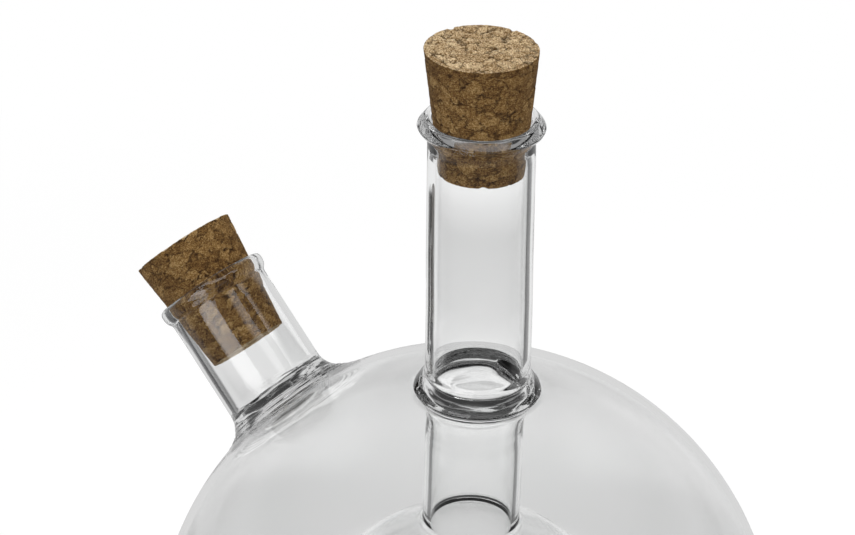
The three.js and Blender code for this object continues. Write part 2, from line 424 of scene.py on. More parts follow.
def sideNeckRows():
    crest = surfaceAlong(0, 0, globe["radius"]) + sideNeck["length"]
    mouth = mouthRun({**sideNeck, "crest": crest})
    columns = []
    for i in range(steps["sideTurns"]):
        turn = fullTurn * i / steps["sideTurns"]
        outer = filletRun(turn)
        inner = rimRun(turn)
        run = outer[:-1] + straight(outer[-1], mouth[0], steps["sideOutside"]) + mouth[1:]
        run += straight(mouth[-1], inner[0], steps["sideInside"])[1:] + inner[1:]
        columns.append([sidePoint(radius, turn, along) for radius, along in run])
    return [list(row) for row in zip(*columns)]


def addRows(shape, rows):  # rings of points with faces between them
    numbered = []
    for row in rows:
        start = len(shape["points"])
        shape["points"].extend(row)
        numbered.append(list(range(start, start + len(row))))
    for low, high in zip(numbered, numbered[1:]):
        count = max(len(low), len(high))
        for i in range(count):
            k = (i + 1) % count
            corners = [low[i % len(low)], low[k % len(low)], high[k % len(high)], high[i % len(high)]]
            shape["faces"].append(list(dict.fromkeys(corners)))
    return numbered


def openHole(shape, firstFace, holeRadius):  # removes faces near the side neck, returns the hole's edge
    near = [sideDistance(p) < holeRadius for p in shape["points"]]
    kept = [f for f in shape["faces"][firstFace:] if not any(near[i] for i in f)]
    shape["faces"][firstFace:] = kept
    uses = {}
    for face in kept:
        for a, b in zip(face, face[1:] + face[:1]):
            uses.setdefault(frozenset((a, b)), []).append((a, b))
    following = {pair[0][0]: pair[0][1] for pair in uses.values() if len(pair) == 1}
    loop = [next(iter(following))]
    while following[loop[-1]] != loop[0]:
        loop.append(following[loop[-1]])
    return loop


def insideLoop(point, loop):
    crossings = 0
    for a, b in zip(loop, loop[1:] + loop[:1]):
        if (a.y > point.y) != (b.y > point.y):
            crossings += point.x < a.x + (point.y - a.y) / (b.y - a.y) * (b.x - a.x)
    return crossings % 2 == 1


def closeBand(shape, outerLoop, innerLoop, middleRadius, sphereRadius):  # joins the globe to the weld
    count = len(innerLoop)
    middle = []
    for i in range(count):
        turn = fullTurn * i / count
        along = surfaceAlong(middleRadius, turn, sphereRadius)
        middle.append(len(shape["points"]))
        shape["points"].append(sidePoint(middleRadius, turn, along))
    used = outerLoop + innerLoop + middle
    flat = [sideFlat(shape["points"][i]) for i in used]
    first = len(outerLoop)
    edges = [(i, (i + 1) % first) for i in range(first)]
    edges += [(first + i, first + (i + 1) % count) for i in range(count)]
    triangles = geometry.delaunay_2d_cdt(flat, edges, [], 0, 1e-6)[2]
    outerFlat = flat[:first]
    innerFlat = flat[first:first + count]
    for triangle in triangles:
        centre = (flat[triangle[0]] + flat[triangle[1]] + flat[triangle[2]]) / 3
        if insideLoop(centre, outerFlat) and not insideLoop(centre, innerFlat):
            shape["faces"].append([used[i] for i in triangle])


def meshFrom(name, shape):
    data = bpy.data.meshes.new(name)
    data.from_pydata([p * mm for p in shape["points"]], [], shape["faces"])
    data.validate()
    piece = bpy.data.objects.new(name, data)
    scene.collection.objects.link(piece)
    return piece


def tidyMesh(piece):  # drops loose points, turns the faces outwards and smooths them
    work = bmesh.new()
    work.from_mesh(piece.data)
    loose = [v for v in work.verts if not v.link_faces]
    bmesh.ops.delete(work, geom=loose, context="VERTS")
    bmesh.ops.recalc_face_normals(work, faces=work.faces)
    openEdges = sum(not e.is_manifold for e in work.edges)
    work.to_mesh(piece.data)
    work.free()
    piece.data.polygons.foreach_set("use_smooth", [True] * len(piece.data.polygons))
    print(piece.name, len(piece.data.vertices), "points,", openEdges, "open edges")


# the neck and the stem aren't quite in line: sideways shift, in the picture's plane, by height
lean = {
    "shifts": ((80, 0.0), (96, 0.26), (112, 0.3), (120, 0.66), (128, 0.58), (140, 0.5), (152, 0.25),
        (166, 0.08), (174, 0.0), (184, -0.25), (198, -0.65)),
    "fade": (14.0, 34.0),  # over this distance from the axis
}
viewAzimuth = math.radians(photo["azimuth"])
acrossView = Vector((math.cos(viewAzimuth), math.sin(viewAzimuth), 0))
awayView = Vector((-math.sin(viewAzimuth), math.cos(viewAzimuth), 0))


def leanAt(point):
    shifts = lean["shifts"]
    height = min(max(point.z, shifts[0][0]), shifts[-1][0] - 0.001)
    for (low, lowShift), (high, highShift) in zip(shifts, shifts[1:]):
        if low <= height < high:
            shift = lowShift + (highShift - lowShift) * (height - low) / (high - low)
    across = math.hypot(point.x, point.y)
    return acrossView * (shift * (1 - smoothStep(*lean["fade"], across)))


# hand-made irregularities. A pair of numbers is the heights or distances over which one comes or goes
unevenSeal = {
    "height": 0.09, "comes": (115, 120), "goes": (123.5, 126.5), "edge": (13.0, 14.5),
    "broad": (0.13, 0.9),  # scales of the waves, across and along
    "fine": (0.3, 3.1), "fineFrom": (9, 4, 2), "fineShare": 0.3,
    "bore": 9.75,  # nearer to the axis than this is the seal's inside
    "deeper": 0.4,  # how much lower it is on its near side
    "deeperComes": (115.5, 119), "deeperGoes": (121.5, 124.4),
    "hollow": 0.52,  # a hollow in its near half
    "hollowSide": (-0.2, 0.5), "hollowComes": (122.2, 124.6), "hollowGoes": (124.6, 126.6),
    "fold": 1.3,  # a fold at its far right
    "foldMiddle": 122.7, "foldHalf": 2.9, "foldWay": (0.88, 0.475), "foldTurn": 0.85,
}
unevenWeld = {
    "height": 0.16,
    "middle": 66,  # along the side neck's axis
    "comes": (-8, -2), "goes": (6, 14), "edge": (15, 20), "inside": (10.2, 11.2),
    "insideShare": 0.3, "broad": (0.13, 0.8), "fine": (0.3, 2.7), "fineFrom": (0, 0, 0),
    "fineShare": 0.4,
}
unevenLip = {"height": 0.1, "upwards": 2, "outwards": 0.06, "reach": 15, "comes": (176, 181),
        "waves": 0.11, "from": (0, 0, 3.3), "fine": 0.35}
unevenSideLip = {"height": 0.1, "upwards": 2, "comes": (24, 29), "waves": 0.12, "from": (1.7, 0, 0),
        "fine": 0.4}


def wavesAt(x, y, z, look):
    (broad, broadAlong), (fine, fineAlong) = look["broad"], look["fine"]
    wave = noise.noise(Vector((x * broad, y * broad, z * broadAlong)))
    small = noise.noise(Vector((x * fine, y * fine, z * fineAlong)) + Vector(look["fineFrom"]))
    return wave + look["fineShare"] * small


def sealUneven(point, across):
    look = unevenSeal
    height = point.z
    outwards = Vector((point.x, point.y, 0)).normalized()
    share = smoothStep(*look["comes"], height) * (1 - smoothStep(*look["goes"], height))
    share *= 1 - smoothStep(*look["edge"], across)
    shift = outwards * share * look["height"] * wavesAt(*point, look)
    if across < look["bore"]:
        away = outwards.dot(awayView)
        shift.z += look["deeper"] * (away - 1) * smoothStep(*look["deeperComes"], height) * (
            1 - smoothStep(*look["deeperGoes"], height))
        near = 1 - smoothStep(*look["hollowSide"], away)
        shift += outwards * near * look["hollow"] * (1 - smoothStep(*look["hollowGoes"], height)) * (
            smoothStep(*look["hollowComes"], height))
        fold = outwards.dot(acrossView) * look["foldWay"][0] + away * look["foldWay"][1]
        fold = smoothStep(math.cos(look["foldTurn"]), 1.0, fold)
        fold *= 1 - smoothStep(0.2, 1.0, abs(height - look["foldMiddle"]) / look["foldHalf"])
        shift -= outwards * fold * look["fold"]
    return shift


def weldUneven(radial, along, level):
    look = unevenWeld
    reach = radial.length
    share = smoothStep(*look["comes"], level) * (1 - smoothStep(*look["goes"], level)) * (
        1 - smoothStep(*look["edge"], reach))
    share *= look["insideShare"] + (1 - look["insideShare"]) * smoothStep(*look["inside"], reach)
    waves = wavesAt(radial.dot(sideAcross), radial.y, along, look)
    return (radial.normalized() + sideAxis).normalized() * share * look["height"] * waves


def lipUneven(point, level, axis, flat, outwards, look):
    share = smoothStep(*look["comes"], level) * look["height"]
    waves = noise.noise(flat * look["waves"] + Vector(look["from"]))
    return axis * share * waves * look["upwards"] + outwards * share * noise.noise(point * look["fine"])


def unevenAt(point):
    across = math.hypot(point.x, point.y)
    shift = Vector((0, 0, 0))
    if across < unevenSeal["edge"][1] and unevenSeal["comes"][0] < point.z < unevenSeal["hollowGoes"][1]:
        shift += sealUneven(point, across)
    if across < unevenLip["reach"] and point.z > unevenLip["comes"][0]:
        flat = Vector((point.x, point.y, 0))
        outwards = flat * unevenLip["outwards"]
        shift += lipUneven(point, point.z, Vector((0, 0, 1)), flat, outwards, unevenLip)
    offset = point - sideOrigin
    along = offset.dot(sideAxis)
    if along > sideNeck["from"]:
        radial = offset - sideAxis * along
        level = along - unevenWeld["middle"]
        if radial.length < unevenWeld["edge"][1] and level < unevenWeld["goes"][1]:
            shift += weldUneven(radial, along, level)
        if level > unevenSideLip["comes"][0]:
            shift += lipUneven(point, level, sideAxis, radial, radial.normalized(), unevenSideLip)
    return shift


def makeGlass():
    shape = {"points": [], "faces": []}
    outerReach = sideNeck["radius"] + weld["spread"] + weld["moreSpread"]
    innerReach = sideNeck["radius"] - sideNeck["wall"] + weld["innerSpread"]
    loops = []
    for run, reach in ((outsideRun(), outerReach), (chamberRun(), innerReach)):
        firstFace = len(shape["faces"])
        addRows(shape, turnedRows(run, steps["turns"]))
        loops.append(openHole(shape, firstFace, reach + weld["hole"]))
    rows = addRows(shape, sideNeckRows())
    closeBand(shape, loops[0], rows[0], outerReach + weld["gap"], globe["radius"])
    closeBand(shape, loops[1], rows[-1], innerReach + weld["gap"], globe["radius"] - globe["wall"])
    shape["points"] = [point + leanAt(point) + unevenAt(point) for point in shape["points"]]
    piece = meshFrom("blown_glass", shape)
    tidyMesh(piece)
    return piece


glass = makeGlass()
print("glass made")


# corks: turned, then roughened with granules, cracks, pits and chipped edges

corkLook = {
    "turns": 384, "rowStep": 0.19, "footStep": 0.285, "edgeRounding": 0.22, "edgeSteps": 5,
    "granule": 2.9,  # width of a granule
    "smallGranule": 0.33,  # as a share of it
    "flatness": 1.5,  # how much wider than high
    "bends": ((0.33, 1.2), (1.3, 0.45)),  # scale and size of what bends them
    "toneShares": (0.65, 0.35),  # of a granule and of a small one
    "granuleStep": 0.05,  # height between neighbouring granules
    "granuleLevel": 0.6, "crackDepth": 0.15, "crackWidth": (0.03, 0.1),
    "crackPatches": (0.5, -0.5, 0.1),  # scale, and where in the noise they come
    "pitDepth": 0.3, "pitWidth": (0.02, 0.16), "pitChance": (0.6, 0.8), "fineDepth": 0.04,
    "fineWidth": (0.0, 0.14), "finePatches": (0.8, -0.1, 0.4), "grainHeight": 0.04,
    "grainScale": 2.6,
    "darkness": (0.7, 0.8, 0.25),  # of cracks, pits and fine cracks
    "edgeWidth": 1.1, "edgeSmoothing": 0.6, "chipDepth": 0.4, "chipWay": (-0.75, 0.65),
    "chipPatches": (0.5, 0.22, 0.6), "nickPatches": (2.3, 0.1, 0.6), "nickShare": 0.25,
}


def hashed(point):
    value = math.sin(point.x * 127.1 + point.y * 311.7 + point.z * 74.7) * 43758.5453
    return value - math.floor(value)


def corkEdge(radius, height, side):  # a rounded edge, side being -1 at the foot and 1 at the top
    rounding, count = corkLook["edgeRounding"], corkLook["edgeSteps"]
    run = []
    for i in range(1, count):
        angle = math.radians(90 * i / count)
        out, up = math.cos(angle), math.sin(angle) * side
        run.append((radius - rounding + rounding * out, height + rounding * up, out, up, i / count))
    return run[::side]


def corkRun():  # radius, height, the direction it faces and how much of a cut end it is
    rounding = corkLook["edgeRounding"]
    low, high, length = cork["bottom"] - rounding, cork["top"] - rounding, cork["length"]
    straightSide = length - 2 * rounding
    rings = math.ceil(low / corkLook["footStep"])
    foot = [(low * i / rings, 0.0, 0.0, -1.0, 1.0) for i in range(rings + 1)]
    rows = math.ceil(straightSide / corkLook["rowStep"])
    heights = [rounding + straightSide * i / rows for i in range(rows + 1)]
    side = [(cork["bottom"] + corkTaper * height, height, 1.0, 0.0, 0.0) for height in heights]
    rings = math.ceil(high / corkLook["rowStep"])
    top = [(high * (1 - i / rings), length, 0.0, 1.0, 1.0) for i in range(rings + 1)]
    return (foot + corkEdge(cork["bottom"], rounding, -1) + side
            + corkEdge(cork["top"], length - rounding, 1) + top)


def noiseVector(point):
    return Vector((noise.noise(point), noise.noise(point + Vector((19.3, 7.1, 3.7))),
            noise.noise(point + Vector((5.9, 23.7, 11.3)))))


def patchAt(point, scale, low, high):  # 0 to 1, in soft patches
    return smoothStep(low, high, noise.noise(point * scale))


def granulesAt(point):
    flat = Vector((point.x, point.y, point.z * corkLook["flatness"]))
    bent = flat
    for scale, size in corkLook["bends"]:
        bent = bent + noiseVector(flat * scale) * size
    size = corkLook["granule"]
    distances, centres = noise.voronoi(bent / size)
    small, smallCentres = noise.voronoi(bent / (size * corkLook["smallGranule"]))
    tone = hashed(centres[0])
    crack = 1 - smoothStep(*corkLook["crackWidth"], distances[1] - distances[0])
    crack *= patchAt(point, *corkLook["crackPatches"])
    pit = 1 - smoothStep(*corkLook["pitWidth"], distances[2] - distances[0])
    pit *= smoothStep(*corkLook["pitChance"], tone)
    fine = 1 - smoothStep(*corkLook["fineWidth"], small[1] - small[0])
    fine *= patchAt(point, *corkLook["finePatches"])
    return crack, pit, fine, tone, hashed(smallCentres[0])


def edgeAt(radius, height, end):  # 1 at the cork's edges, 0 away from them
    upper = height > cork["length"] / 2
    edge = (cork["top"] if upper else cork["bottom"]) - radius
    gap = max(edge if end > 0.5 else 0, min(height, cork["length"] - height) if end < 0.5 else 0)
    chipOut, chipUp = corkLook["chipWay"]
    return 1 - smoothStep(0.0, corkLook["edgeWidth"], gap), chipOut, -chipUp if upper else chipUp


def makeCork(name, seed, origin, across, axis):
    shift = Vector((seed * 31.7, seed * 17.3, seed * 53.9))
    along = axis.cross(across)
    rows, cracks, tones, ends, places = [], [], [], [], []
    turns = corkLook["turns"]
    crackDark, pitDark, fineDark = corkLook["darkness"]
    toneShare, smallShare = corkLook["toneShares"]
    for radius, height, outwards, upwards, end in corkRun():
        row = []
        nearEdge, chipOut, chipUp = edgeAt(radius, height, end)
        for i in range(turns if radius > tiny["radius"] else 1):
            turn = fullTurn * i / turns
            flat = Vector((math.cos(turn), math.sin(turn), 0))
            point = flat * radius + Vector((0, 0, height))
            spot = point + shift
            crack, pit, fine, tone, smallTone = granulesAt(spot)
            chip = nearEdge * patchAt(spot, *corkLook["chipPatches"])
            chip += nearEdge * corkLook["nickShare"] * patchAt(spot, *corkLook["nickPatches"])
            depth = corkLook["crackDepth"] * crack + corkLook["pitDepth"] * pit
            depth = depth * (1 - corkLook["edgeSmoothing"] * nearEdge) + corkLook["fineDepth"] * fine
            grain = corkLook["grainHeight"] * noise.noise(spot * corkLook["grainScale"])
            rise = (tone - corkLook["granuleLevel"]) * corkLook["granuleStep"] + grain
            facing = flat * outwards + Vector((0, 0, upwards))
            inwards = flat * chipOut + Vector((0, 0, chipUp))
            place = point + facing * (rise - depth) + inwards * chip * corkLook["chipDepth"]
            placed = origin + across * place.x + along * place.y + axis * place.z
            row.append(placed + leanAt(placed))
            cracks.append(min(1.0, crack * crackDark + pit * pitDark + fine * fineDark))
            tones.append(toneShare * tone + smallShare * smallTone)
            ends.append(end)
            places.extend(spot)
        rows.append(row)
    shape = {"points": [], "faces": []}
    addRows(shape, rows)
    piece = meshFrom(name, shape)
    for label, values in (("crack", cracks), ("tone", tones), ("end", ends)):
        piece.data.attributes.new(label, "FLOAT", "POINT").data.foreach_set("value", values)
    piece.data.attributes.new("place", "FLOAT_VECTOR", "POINT").data.foreach_set("vector", places)
    tidyMesh(piece)
    return piece


corkFinish = {  # lengths in the textures are in millimetres
    "sideTones": ((0.053, 0.024, 0.007), (0.156, 0.082, 0.026), (0.255, 0.143, 0.047),
        (0.44, 0.295, 0.128)),
    # the cut ends are paler than the side: partly the cut cork's own colour, partly painted light for the
    # top end's stronger light
    "endTones": ((0.13, 0.068, 0.024), (0.36, 0.228, 0.102), (0.54, 0.38, 0.2), (0.82, 0.66, 0.43)),
    "toneStops": (0.0, 0.38, 0.68, 1.0), "toneSpan": (0.91, 1.6),
    "crackColour": (0.03, 0.013, 0.005), "crackShare": 0.95,
    "endSpan": (0.3, 0.7),  # where the side turns to a cut end
    "lying": (1.0, 1.0, 1.9),  # the grain is wider than high
    "fibre": {"Scale": 0.95, "Detail": 6.0, "Roughness": 0.75, "Distortion": 0.6},
    "fine": {"Scale": 2.1, "Detail": 3.0, "Roughness": 0.75},
    "broad": {"Scale": 0.3, "Detail": 2.0},
    "speckle": {"Scale": 5.0, "Detail": 2.0, "Roughness": 0.8},
    "pores": {"Scale": 1.5, "Randomness": 1.0},
    "poreSize": (0.06, 0.24),
    "poreSpan": (0.4, 0.52),  # pores come where the fibre is dark
    "poreShares": (0.85, 0.0), "toneShare": 0.44, "fibreShare": 0.75, "fineShare": 1.1,
    "broadShare": 0.2,
    "speckleShares": (1.7, 3.9),  # on the side and on a cut end
    "paleShare": 0.85,  # how grey its reflections in the glass are
    "bumpStrength": 0.7, "bumpHeight": 0.00025, "roughness": 0.9, "specular": 0.2,
}


def corkMaterial():
    look = corkFinish
    material, tree = newMaterial("agglomeratedCork")
    kinds = {"crack": "Fac", "tone": "Fac", "end": "Fac", "place": "Vector"}
    crack, tone, end, place = (addNode(tree, "Attribute", attribute_name=name).outputs[kind]
            for name, kind in kinds.items())
    lying = socket(tree, "Mapping", {"Vector": place, "Scale": look["lying"]})
    fibre, fine, broad = (noiseTexture(lying, look[name]) for name in ("fibre", "fine", "broad"))
    distance = addNode(tree, "TexVoronoi", {"Vector": lying, **look["pores"]}).outputs["Distance"]
    pore = product(mapRange(distance, look["poreSize"], falling),
            mapRange(fibre, look["poreSpan"], look["poreShares"], False))
    wear = math2("ADD", product(fibre, look["fibreShare"]), product(fine, look["fineShare"]))
    mixed = math2("ADD", product(tone, look["toneShare"]),
            math2("ADD", wear, product(broad, look["broadShare"])))
    speckle = math2("SUBTRACT", noiseTexture(place, look["speckle"]), 0.5)
    speckle = product(speckle, mapRange(end, look["endSpan"], look["speckleShares"], False))
    mixed = mapRange(math2("ADD", mixed, speckle), look["toneSpan"], rising, False)
    side, cut = (ramp(mixed, list(zip(look["toneStops"], look[name])))
            for name in ("sideTones", "endTones"))
    # paler tones on the cut ends, partly painted light on the top end
    colour = colourMix(mapRange(end, look["endSpan"], rising, False), side, cut)
    darkShare = math2("MAXIMUM", product(crack, look["crackShare"]), pore)
    colour = colourMix(darkShare, colour, (*look["crackColour"], 1))
    mirrored = addNode(tree, "LightPath").outputs["Glossy Depth"]
    mirrored = product(math2("GREATER_THAN", mirrored, 0.5), look["paleShare"])
    colour = colourMix(mirrored, colour, socket(tree, "RGBToBW", {0: colour}))
    bump = socket(tree, "Bump", {"Height": math2("SUBTRACT", wear, pore),
            "Strength": look["bumpStrength"], "Distance": look["bumpHeight"]})
    shader = socket(tree, "BsdfPrincipled", {"Base Color": colour, "Roughness": look["roughness"],
            "Specular IOR Level": look["specular"], "Normal": bump})
    addNode(tree, "OutputMaterial", {"Surface": shader})
    return material


def corkFoot(size, crest):  # height of the cork's foot, so that it meets the bore at its seat
    bore = size["radius"] - size["wall"]
    return crest - size["seat"] - (bore - cork["clearance"] - cork["bottom"]) / corkTaper


corkSurface = corkMaterial()
neckCork = corkFoot(neck, neck["crest"])
sideCork = corkFoot(sideNeck, surfaceAlong(0, 0, globe["radius"]) + sideNeck["length"])
print("cork feet at", round(neckCork, 2), "and", round(sideCork, 2))
centralCork = makeCork("central_cork_stopper", 1, Vector((0, 0, neckCork)), Vector((1, 0, 0)),
        Vector((0, 0, 1)))
otherCork = makeCork("side_cork_stopper", 2, sideOrigin + sideAxis * sideCork, sideAcross, sideAxis)
for piece in (centralCork, otherCork):
    piece.data.materials.append(corkSurface)
print("corks made")


# glass surface: plain clear glass for every ray that is seen, and clear without bending for the light
# that reaches the corks and the floor through it

glassLook = {
    "colour": (0.985, 0.99, 0.988),
    "tint": {"Scale": 30.0},  # fades the colour in places
    "tintStops": (0.35, 0.65), "ior": 1.47, "lightThrough": (0.955, 0.96, 0.958),
    "waves": {"Scale": 55.0, "Detail": 1.5},
    "waveStrength": 0.2, "waveHeight": 0.0003,
}


def glassMaterial():
    material, tree = newMaterial("clearBlownGlass")
    place = addNode(tree, "TexCoord").outputs["Object"]
    waves = noiseTexture(place, glassLook["waves"])
    bump = socket(tree, "Bump", {"Height": waves, "Strength": glassLook["waveStrength"],
            "Distance": glassLook["waveHeight"]})
    tint = noiseTexture(place, glassLook["tint"])
    colour = ramp(tint, list(zip(glassLook["tintStops"], (glassLook["colour"], (1.0, 1.0, 1.0)))))
    shader = socket(tree, "BsdfPrincipled", {"Base Color": colour, "Roughness": 0.0,
            "IOR": glassLook["ior"], "Transmission Weight": 1.0, "Normal": bump})
    clear = socket(tree, "BsdfTransparent", {"Color": (*glassLook["lightThrough"], 1)})
    ray = addNode(tree, "LightPath").outputs
    unseen = math2("MAXIMUM", ray["Is Shadow Ray"], ray["Is Diffuse Ray"])
    mixed = socket(tree, "MixShader", {0: unseen, 1: shader, 2: clear})
    addNode(tree, "OutputMaterial", {"Surface": mixed})
    return material


glass.data.materials.append(glassMaterial())
print("glass surface made")


# stage: pale floor, surroundings and softboxes. What the glass shows of them has its own levels, by the
# kind and depth of a ray and by where it ends. "Away" is behind the bottle in metres, as the photograph
# sees it, and "aside" is to its right. A pair of numbers is a span over which a level changes

mirroredOnce = 0.66  # level of all that the outside of the glass reflects
floorLook = {
    "size": 6.0, "below": 0.00003, "colour": (0.8, 0.8, 0.8),
    "grain": {"Scale": 900.0},
    "grainStops": (0.3, 0.7), "grainShade": 0.985,
    "glow": 0.3,  # added where the camera sees the floor, so that it is white
    "whiteSpan": (0.12, 0.4),  # and where it turns to plain white
}
throughLook = {  # the floor as it is seen through glass: painted light and shade, at which the floor glows
    "levels": ((0.13, 0.72), (0.155, 0.74), (0.165, 0.76), (0.175, 0.79), (0.2, 0.87), (0.235, 0.91),
        (0.255, 0.8), (0.3, 0.74), (0.318, 0.88), (0.33, 1.0), (0.36, 1.0)),  # by distance away
    "leftAside": (-0.02, -0.045),  # through the globe, behind its left and its right side
    "leftSteep": (0.87, 0.9), "leftLevels": (1.13, 0.88), "rightAside": (0.02, 0.035),
    "rightMore": (0.0, 0.08), "sidesAway": (0.165, 0.185),
    "neckSteep": (0.97, 1.03),  # rays from the central neck know no sides
    "sideNeckAside": (-0.036, -0.05), "sideNeckAway": (0.19, 0.215), "sideNeckSpan": (0.243, 0.262),
    "sideNeckLevels": (0.85, 1.15),
    "edgeLevel": 0.12,  # painted shade far to the left, as the side neck's left edge shows it
    "edgeSlant": (-0.56, -0.66), "edgeFar": (0.17, 0.19), "edgeNear": (0.02, 0.05),
    "edgeSteep": (0.8, 0.9),
    "frontLevel": 0.1,  # painted shade before the bottle, for light that is mirrored in the glass
    "frontAway": (-0.02, -0.1),
    "underLevels": (0.1, 1.0),  # painted shadow under it, for mirrored light and for light through the ring seal
    "underReach": (0.085, 0.128),
    "freeSurfaces": 4.0,  # further surfaces that light passes make it stronger, against their loss
    "perSurface": 0.04,
}
turnedLook = {  # painted light and shade on the floor, for light that turned round in the glass
    "paintedPaleLevel": 0.85,  # a painted pale patch behind the bottle
    "paintedPaleStart": (0.08, 0.13),
    "paintedPaleBack": (0.325, 0.365),  # from where on everything is that painted pale patch
    "paintedPaleAway": (0.12, 0.15),  # and its half width, near and far
    "paintedPaleHalves": (0.065, 0.1), "paintedPaleFade": (0.0, 0.05),
    "leftLevel": 0.035,  # painted dark beside the pale patch
    "rightLevel": 0.13,
    "underLevel": 0.045,  # and painted shade under the bottle and before it
    "stemLevel": 0.25,  # and what the stem shows, by the steepness of its rays
    "stemSteep": ((0.66, 0.71), (0.78, 0.84)),
    "rimLevel": 0.7,  # and the globe's rim
    "rimSteep": ((0.84, 0.9), (0.99, 1.04)), "rimAway": (0.12, 0.15),
    "lipLevel": 0.3,  # and the central lip
    "lipSteep": (1.26, 1.32),
    "neckSteep": (1.03, 1.07),  # the necks have their own dark places, by aside over away
    "leftSlant": ((-0.3, -0.42), (-0.8, -1.0)), "leftReach": (0.329, 0.335),
    "rightSlant": (0.5, 0.66), "rightReach": (0.375, 0.385),
    "manyLevel": 0.5,  # and far out, after many reflections
    "manyDepth": (5.5, 7.5), "manyAside": (0.1, 0.13), "manyFront": (-0.08, -0.1),
}
skyLook = {  # spans are of how far a direction points upwards or to the camera's side
    "light": 0.45,  # level of the surroundings that light the object
    "levels": (0.95, 0.06),  # and as they are seen in the glass, low and high
    "heights": (0.1, 0.6),  # where the one turns into the other
    "glow": 3.2,  # a band of light before the bottle, as it is mirrored
    "glowHeights": ((0.66, 0.72), (0.83, 0.9)), "glowTowards": (0.0, 0.2),
    "turnedHeights": (0.15, 0.45),  # where it darkens for light that turned round in the glass
    "topHeights": (0.88, 0.97), "topLevel": 0.12, "frontTowards": (0.1, 0.4),
    "frontDepth": (3.5, 5.5),
}


def rayKinds(tree):
    ray = addNode(tree, "LightPath").outputs
    seen = math2("MAXIMUM", ray["Is Glossy Ray"], ray["Is Transmission Ray"])
    mirrored = math2("GREATER_THAN", ray["Glossy Depth"], 0.5)
    passed = math2("GREATER_THAN", ray["Transmission Depth"], 0.5)
    turned = product(seen, product(mirrored, passed))
    once = product(ray["Is Glossy Ray"], math2("LESS_THAN", ray["Transmission Depth"], 0.5))
    return ray, seen, mirrored, turned, once


def dot(vector, fixed):
    node = addNode(treeOf(vector), "VectorMath", {0: vector, 1: fixed}, operation="DOT_PRODUCT")
    return node.outputs["Value"]


def throughLevel(spot, ray, mirrored, once):
    look = throughLook
    aside, away, steep = spot["aside"], spot["away"], spot["steep"]
    level = ramp(away, [(place, (value, value, value)) for place, value in look["levels"]])
    sides = choose(mapRange(aside, look["leftAside"]), 1.0,
            mapRange(steep, look["leftSteep"], look["leftLevels"]))
    sides = math2("ADD", sides, mapRange(aside, look["rightAside"], look["rightMore"]))
    sides = choose(mapRange(away, look["sidesAway"]), 1.0, sides)
    fromNeck = mapRange(steep, look["neckSteep"], rising, False)
    level = product(level, choose(fromNeck, sides, 1.0))
    behindSideNeck = product(mapRange(aside, look["sideNeckAside"]),
            mapRange(away, look["sideNeckAway"]), math2("SUBTRACT", 1.0, fromNeck))
    level = choose(behindSideNeck, level, mapRange(away, look["sideNeckSpan"], look["sideNeckLevels"]))
    edge = product(mapRange(spot["slant"], look["edgeSlant"]), mapRange(away, look["edgeFar"], falling),
            mapRange(away, look["edgeNear"]), mapRange(steep, look["edgeSteep"]))
    level = choose(edge, level, look["edgeLevel"])
    level = choose(once, level, mirroredOnce)
    front = product(mapRange(away, look["frontAway"]), mirrored)
    level = choose(front, level, look["frontLevel"])
    # a wall has two surfaces, and light that passed an odd number of walls came through the ring seal
    surfaces = ray["Transmission Depth"]
    oddWalls = math2("GREATER_THAN", math2("MODULO", surfaces, 4.0), 1.0)
    under = choose(math2("MAXIMUM", mirrored, oddWalls), 1.0,
            mapRange(spot["reach"], look["underReach"], look["underLevels"]))
    further = math2("MAXIMUM", math2("SUBTRACT", surfaces, look["freeSurfaces"]), 0.0)
    gain = math2("ADD", product(further, look["perSurface"]), 1.0)
    return product(level, under, gain)


def turnedLevel(spot, ray):
    look = turnedLook
    aside, away, steep = spot["aside"], spot["away"], spot["steep"]
    half = mapRange(away, look["paintedPaleAway"], look["paintedPaleHalves"])
    beyond = math2("SUBTRACT", math2("ABSOLUTE", aside), half)
    dark = product(mapRange(beyond, look["paintedPaleFade"]), mapRange(away, look["paintedPaleBack"], falling))
    before = mapRange(away, look["paintedPaleStart"], falling)
    dark = math2("MAXIMUM", dark, before)
    fromNeck = mapRange(steep, look["neckSteep"])
    leftEdge = product(band(spot["slant"], *look["leftSlant"], False),
            mapRange(spot["reach"], look["leftReach"], falling, False))
    rightEdge = product(mapRange(spot["slant"], look["rightSlant"], rising, False),
            mapRange(spot["reach"], look["rightReach"], falling, False))
    edges = math2("MAXIMUM", math2("MAXIMUM", leftEdge, rightEdge), before)
    dark = choose(fromNeck, dark, edges)
    # rays from the stem, the rim and the lip differ in their steepness
    fromStem = band(steep, *look["stemSteep"])
    fromRim = product(band(steep, *look["rimSteep"]), mapRange(away, look["rimAway"]))
    fromLip = mapRange(steep, look["lipSteep"], rising, False)
    onRight = math2("GREATER_THAN", aside, 0.0)
    darkLevel = choose(onRight, look["leftLevel"], look["rightLevel"])
    for share, name in ((before, "underLevel"), (fromStem, "stemLevel"), (fromRim, "rimLevel"),
            (fromLip, "lipLevel")):
        darkLevel = choose(share, darkLevel, look[name])
    level = choose(dark, choose(fromRim, look["paintedPaleLevel"], look["rimLevel"]), darkLevel)
    farOut = math2("MAXIMUM", mapRange(math2("ABSOLUTE", aside), look["manyAside"], rising, False),
            mapRange(away, look["manyFront"], rising, False))
    many = product(mapRange(ray["Glossy Depth"], look["manyDepth"], rising, False), farOut)
    return choose(many, level, look["manyLevel"])


